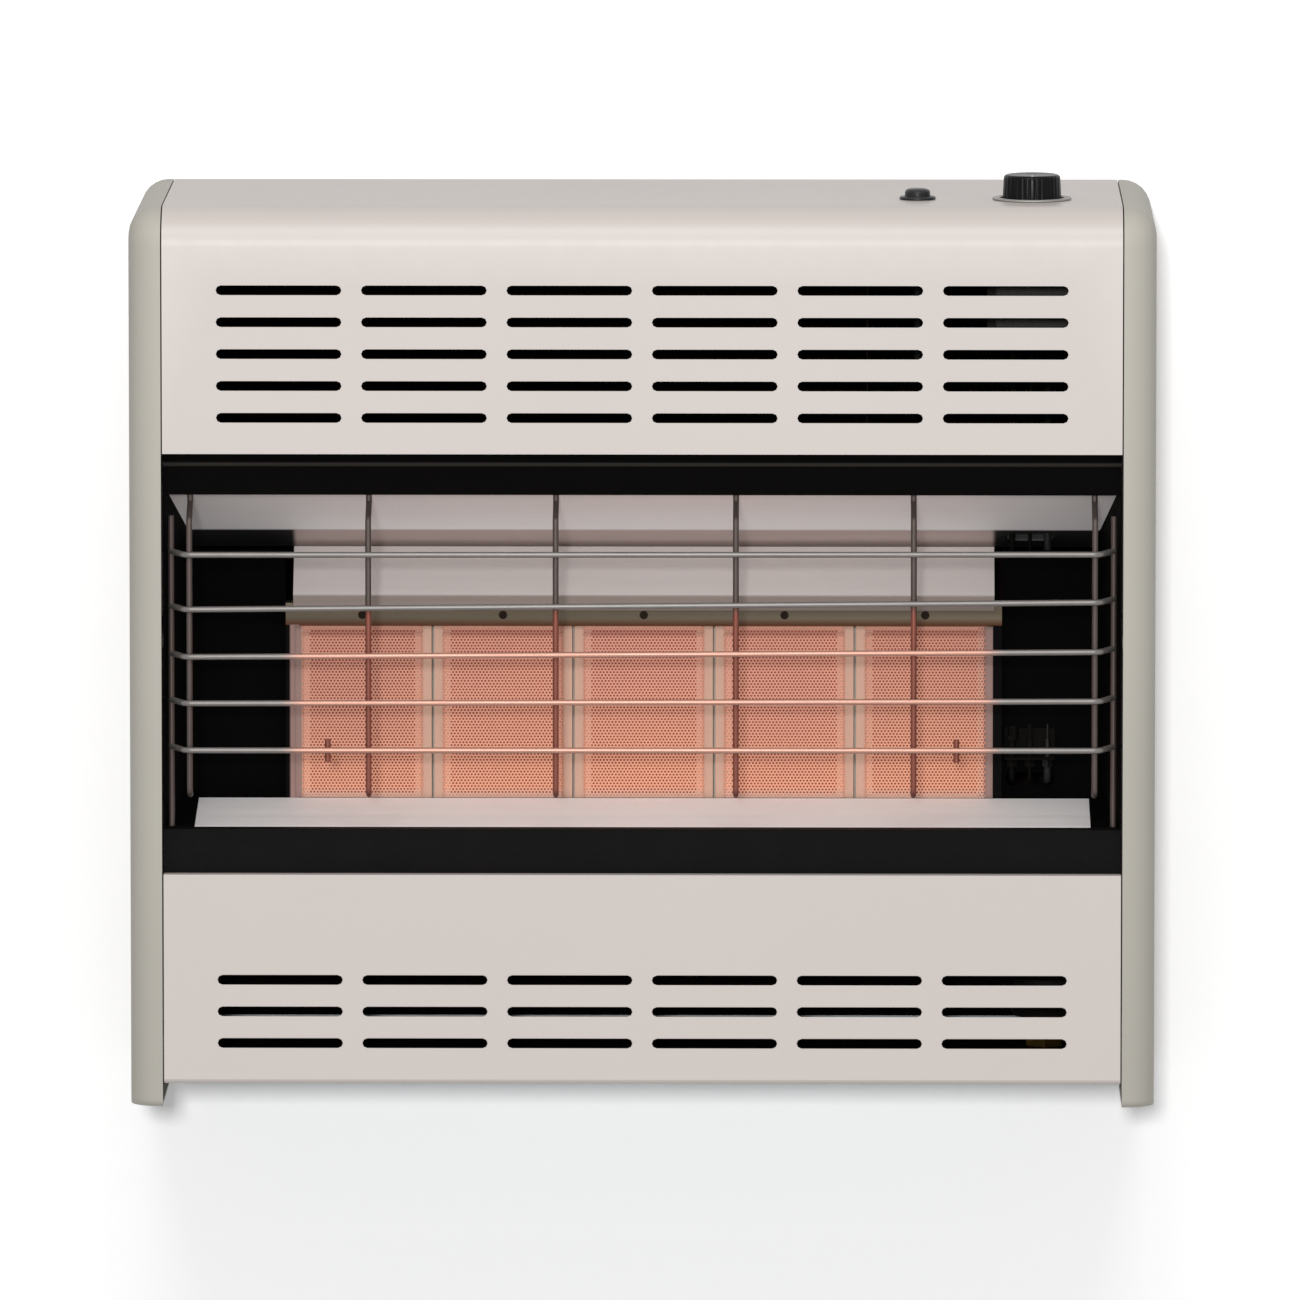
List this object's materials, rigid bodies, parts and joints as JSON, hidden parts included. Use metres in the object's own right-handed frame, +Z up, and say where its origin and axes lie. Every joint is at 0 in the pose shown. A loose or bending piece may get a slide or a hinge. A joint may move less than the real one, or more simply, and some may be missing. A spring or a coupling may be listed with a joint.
{
  "type": "wall mounted gas heater",
  "caption": "Wall mounted radiant gas heater: louvred sheet-steel casing, ceramic plaque burner between polished reflectors, wire guard, top control knob and push igniter.",
  "frame": {"origin": "centre of the back panel's wall face", "axes": "+X to the heater's right as seen from the front, +Y into the wall, +Z up; the front faces -Y"},
  "size_m": [0.688, 0.2447, 0.623],
  "materials": {
    "cream_enamel": "semi-gloss baked enamel",
    "end_cap_cream": "satin moulded plastic",
    "galvanised_sheet": "galvanised sheet",
    "black_paint": "matt black heat paint",
    "polished_sheet": "polished reflector sheet",
    "bright_wire": "bright plated wire",
    "plain_steel": "plain steel",
    "brass": "machined brass",
    "cast_aluminium": "die cast",
    "tube_aluminium": "drawn tube",
    "black_plastic": "black moulded plastic",
    "dial_steel": "pale printed ring",
    "plaque_ceramic": "perforated ceramic plaque, glowing",
    "ceramic_fibre": "ceramic fibre gasket",
    "dark_porcelain": "dark glazed porcelain",
    "black_silicone": "silicone insulated lead"
  },
  "bodies": {
    "heater": {"back_panel": "galvanised_sheet", "wall_bracket": "galvanised_sheet", "side_panel_left": "end_cap_cream", "side_panel_right": "end_cap_cream", "upper_front_panel": "cream_enamel", "lower_front_panel": "cream_enamel", "bottom_panel": "galvanised_sheet", "rear_heat_shield": "galvanised_sheet", "heat_baffle": "galvanised_sheet", "bay_partition": "galvanised_sheet", "upper_rail": "black_paint", "lower_rail": "black_paint", "upper_reflector": "polished_sheet", "lower_reflector": "polished_sheet", "side_shield_left": "black_paint", "side_shield_right": "black_paint", "wire_guard": "bright_wire", "burner_box": "galvanised_sheet", "burner_gasket": "ceramic_fibre", "burner_frame": "plain_steel", "burner_cover": "polished_sheet", "mixer_tube": "galvanised_sheet", "injector_cage": "galvanised_sheet", "injector": "brass", "plaque_1": "plaque_ceramic", "plaque_2": "plaque_ceramic", "plaque_3": "plaque_ceramic", "plaque_4": "plaque_ceramic", "plaque_5": "plaque_ceramic", "stem_spring": "plain_steel", "valve_bonnet": "brass", "gas_valve": "cast_aluminium", "valve_bracket": "galvanised_sheet", "dial_bezel": "dial_steel", "igniter_body": "black_plastic", "igniter_nut": "plain_steel", "igniter_spring": "plain_steel", "inlet_fitting": "brass", "regulator": "cast_aluminium", "supply_tube": "tube_aluminium", "burner_tube": "tube_aluminium", "pilot_bracket": "plain_steel", "pilot_burner": "plain_steel", "thermocouple": "plain_steel", "spark_electrode": "dark_porcelain", "pilot_tube": "tube_aluminium", "thermocouple_lead": "brass", "ignition_lead": "black_silicone"},
    "stem_washer": {"thrust_washer": "plain_steel"},
    "knob": {"control_knob": "black_plastic", "valve_stem": "plain_steel"},
    "igniter_button": {"igniter_button": "black_plastic"}
  },
  "joints": [
    {"name": "knob_push", "type": "slide", "parent": "heater", "child": "stem_washer", "axis": [0, 0, -1], "range_m": [0, 0.004], "stiffness_N_per_m": 1500, "springref_m": -0.002, "deforming": ["stem_spring"]},
    {"name": "knob_turn", "type": "hinge", "parent": "stem_washer", "child": "knob", "pos_m": [0.2612, -0.16, 0.295], "axis": [0, 0, 1], "range_deg": [0, 240]},
    {"name": "igniter_push", "type": "slide", "parent": "heater", "child": "igniter_button", "axis": [0, 0, -1], "range_m": [0, 0.005], "stiffness_N_per_m": 1500, "springref_m": -0.002, "deforming": ["igniter_spring"]}
  ]
}
